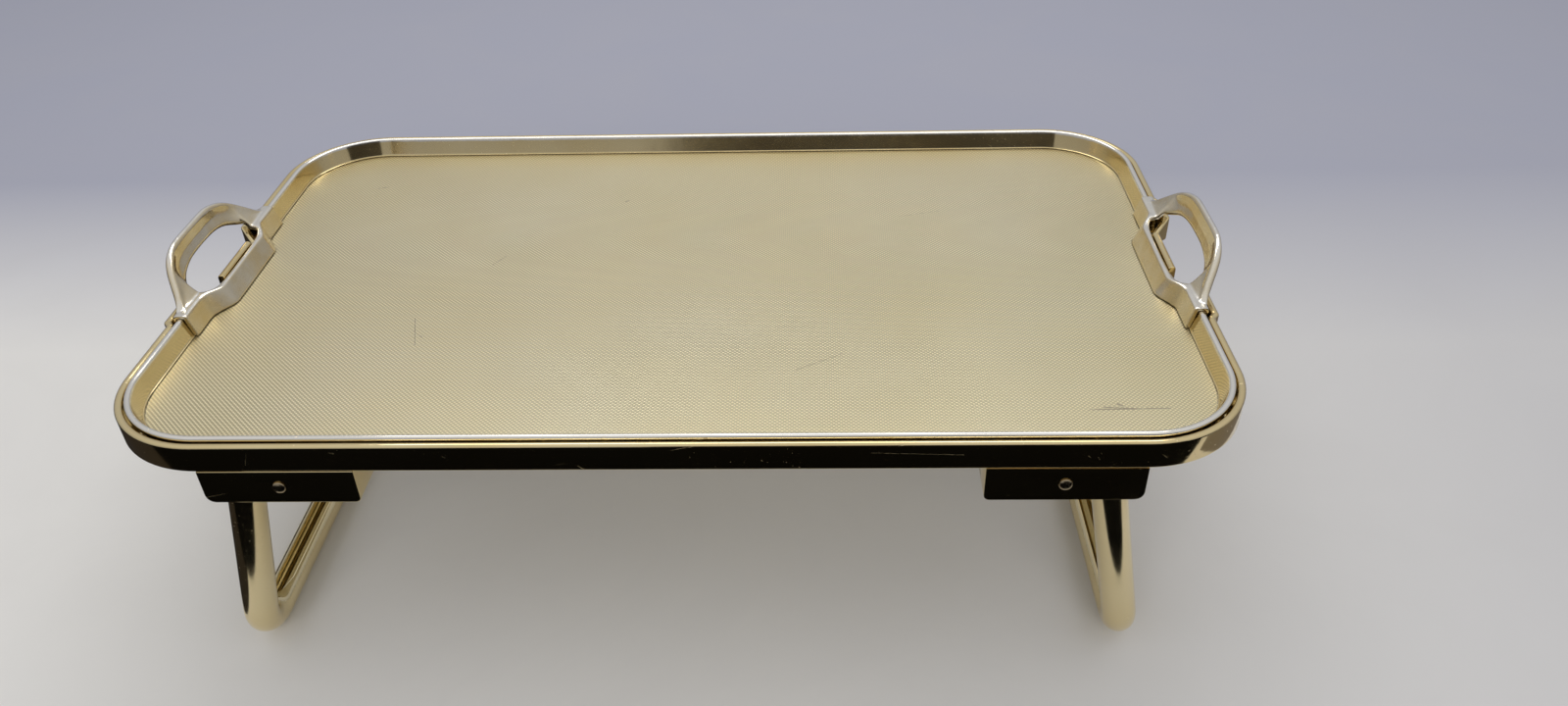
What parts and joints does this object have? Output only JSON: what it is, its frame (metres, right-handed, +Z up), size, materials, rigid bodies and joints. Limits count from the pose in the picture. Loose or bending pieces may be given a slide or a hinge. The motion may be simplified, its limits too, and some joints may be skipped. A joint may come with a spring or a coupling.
{
  "type": "bed tray table",
  "caption": "Rectangular metal bed tray table: raised rim, cast side handles, a lift-out tray and splayed tubular legs that fold flat under the frame.",
  "frame": {"origin": "on the table surface under the middle of the tray", "axes": "+X along the long side towards the right handle, +Y towards the back, +Z up"},
  "size_m": [0.586, 0.3438, 0.1737],
  "materials": {
    "frame_gold": "bright champagne-gold anodised, mirror polished",
    "rim_gold": "bright gold anodised, polished",
    "floor_satin": "satin pale gold anodised, embossed with fine raised dots",
    "handle_cast": "cast and polished, silver to pale gold",
    "leg_tube": "pale gold anodised, polished tube",
    "plate_metal": "dull flat plate",
    "rivet_metal": "plain rivet",
    "spacer_metal": "plain tube"
  },
  "bodies": {
    "frame": {"frame_band": "frame_gold", "bracket_left_front": "frame_gold", "bracket_left_back": "frame_gold", "bracket_right_front": "frame_gold", "bracket_right_back": "frame_gold", "flange_rivet_left_front_1": "rivet_metal", "flange_rivet_left_front_2": "rivet_metal", "flange_rivet_left_back_1": "rivet_metal", "flange_rivet_left_back_2": "rivet_metal", "flange_rivet_right_front_1": "rivet_metal", "flange_rivet_right_front_2": "rivet_metal", "flange_rivet_right_back_1": "rivet_metal", "flange_rivet_right_back_2": "rivet_metal", "pivot_rivet_left_front": "rivet_metal", "pivot_rivet_left_back": "rivet_metal", "pivot_rivet_right_front": "rivet_metal", "pivot_rivet_right_back": "rivet_metal", "spacer_left_front_outer": "spacer_metal", "spacer_left_front_inner": "spacer_metal", "spacer_left_back_outer": "spacer_metal", "spacer_left_back_inner": "spacer_metal", "spacer_right_front_outer": "spacer_metal", "spacer_right_front_inner": "spacer_metal", "spacer_right_back_outer": "spacer_metal", "spacer_right_back_inner": "spacer_metal"},
    "left_leg": {"leg_left": "leg_tube", "hinge_plate_left_front": "plate_metal", "hinge_plate_left_back": "plate_metal", "tube_rivet_left_front_1": "rivet_metal", "tube_rivet_left_front_2": "rivet_metal", "tube_rivet_left_back_1": "rivet_metal", "tube_rivet_left_back_2": "rivet_metal"},
    "right_leg": {"leg_right": "leg_tube", "hinge_plate_right_front": "plate_metal", "hinge_plate_right_back": "plate_metal", "tube_rivet_right_front_1": "rivet_metal", "tube_rivet_right_front_2": "rivet_metal", "tube_rivet_right_back_1": "rivet_metal", "tube_rivet_right_back_2": "rivet_metal"},
    "tray": {"tray_floor": "floor_satin", "rim_front": "rim_gold", "rim_back": "rim_gold", "handle_left": "handle_cast", "handle_right": "handle_cast"}
  },
  "joints": [
    {"name": "leg_left_fold", "type": "hinge", "parent": "frame", "child": "left_leg", "pos_m": [-0.188, 0, 0.124], "axis": [0, -1, 0], "range_deg": [0, 101]},
    {"name": "leg_right_fold", "type": "hinge", "parent": "frame", "child": "right_leg", "pos_m": [0.188, 0, 0.124], "axis": [0, 1, 0], "range_deg": [0, 101]},
    {"name": "tray_lift", "type": "slide", "parent": "frame", "child": "tray", "axis": [0, 0, 1], "range_m": [0, 0.06]}
  ]
}
